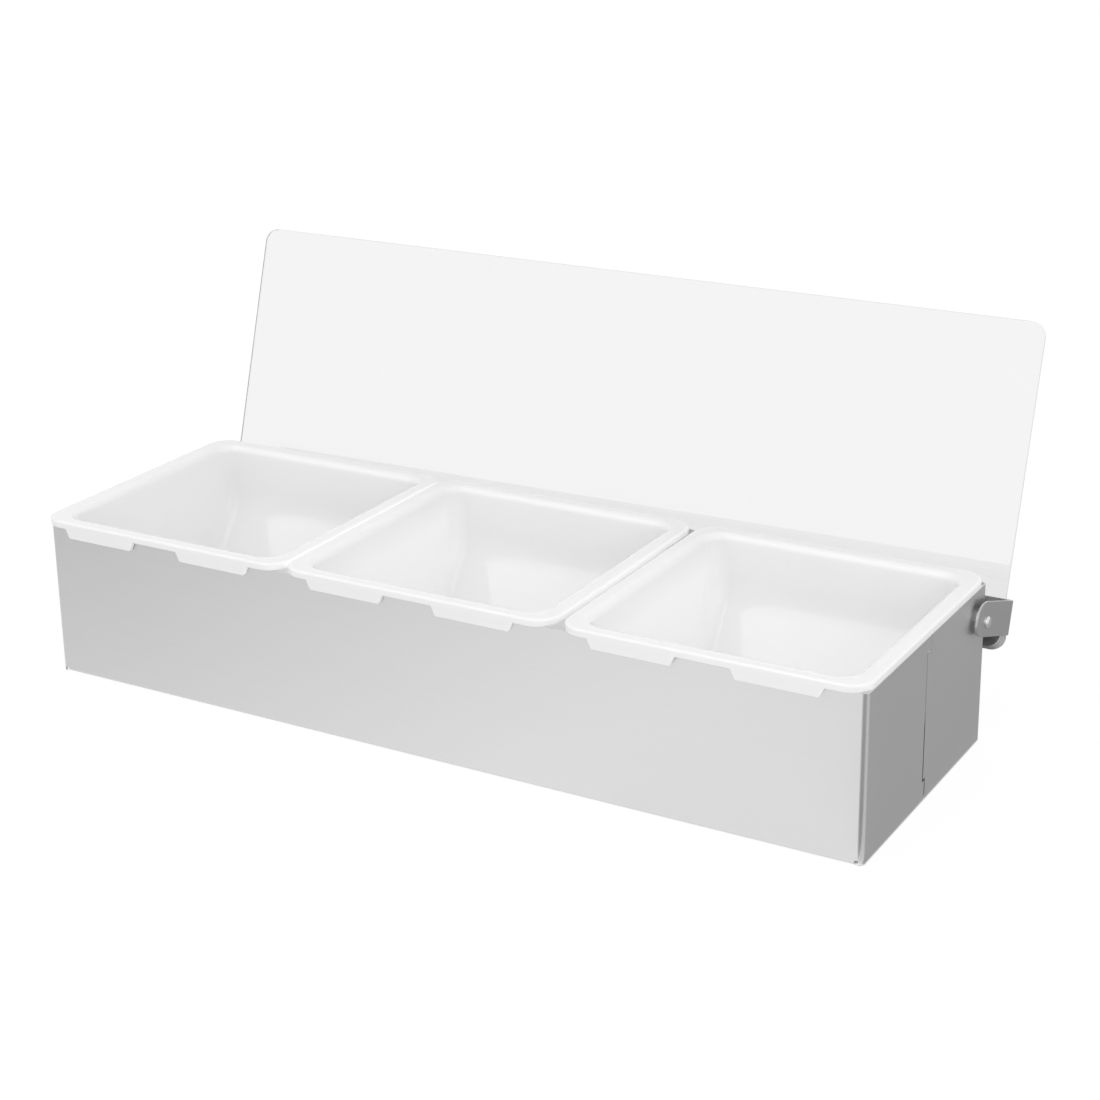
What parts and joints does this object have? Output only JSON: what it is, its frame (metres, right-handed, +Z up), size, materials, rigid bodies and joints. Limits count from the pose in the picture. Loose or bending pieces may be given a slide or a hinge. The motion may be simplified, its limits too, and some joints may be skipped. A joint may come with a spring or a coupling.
{
  "type": "condiment caddy",
  "caption": "Condiment caddy: a folded brushed-steel case holding three lift-out white trays under one clear lid hinged behind them, shown open.",
  "frame": {"origin": "middle of the underside of the case, on the surface it stands on", "axes": "+X to the right along the length, +Y from the front wall towards the lid's hinge, +Z up"},
  "size_m": [0.4722, 0.209, 0.1978],
  "materials": {
    "case_steel": "brushed along the length",
    "bracket_steel": "satin",
    "bright_steel": "bright, lightly polished",
    "clear_lid": "clear, polished",
    "white_tray": "semi-gloss white, moulded"
  },
  "bodies": {
    "case": {"case_shell": "case_steel", "pivot_stud_left": "bright_steel", "pivot_stud_right": "bright_steel", "stud_washer_left": "bright_steel", "stud_washer_right": "bright_steel"},
    "lid": {"lid_sheet": "clear_lid", "hinge_bracket_left": "bracket_steel", "hinge_bracket_right": "bracket_steel", "lid_rivet_left_outer": "bright_steel", "lid_rivet_left_inner": "bright_steel", "lid_rivet_right_outer": "bright_steel", "lid_rivet_right_inner": "bright_steel", "lid_washer_left_outer": "bright_steel", "lid_washer_left_inner": "bright_steel", "lid_washer_right_outer": "bright_steel", "lid_washer_right_inner": "bright_steel"},
    "tray_left_body": {"tray_left": "white_tray"},
    "tray_centre_body": {"tray_centre": "white_tray"},
    "tray_right_body": {"tray_right": "white_tray"}
  },
  "joints": [
    {"name": "lid_hinge", "type": "hinge", "parent": "case", "child": "lid", "pos_m": [0, 0.0644, 0.0661], "axis": [-1, 0, 0], "range_deg": [-108.5, 20]},
    {"name": "tray_left_lift", "type": "slide", "parent": "case", "child": "tray_left_body", "axis": [0, 0, 1], "range_m": [0, 0.1]},
    {"name": "tray_centre_lift", "type": "slide", "parent": "case", "child": "tray_centre_body", "axis": [0, 0, 1], "range_m": [0, 0.1]},
    {"name": "tray_right_lift", "type": "slide", "parent": "case", "child": "tray_right_body", "axis": [0, 0, 1], "range_m": [0, 0.1]}
  ]
}
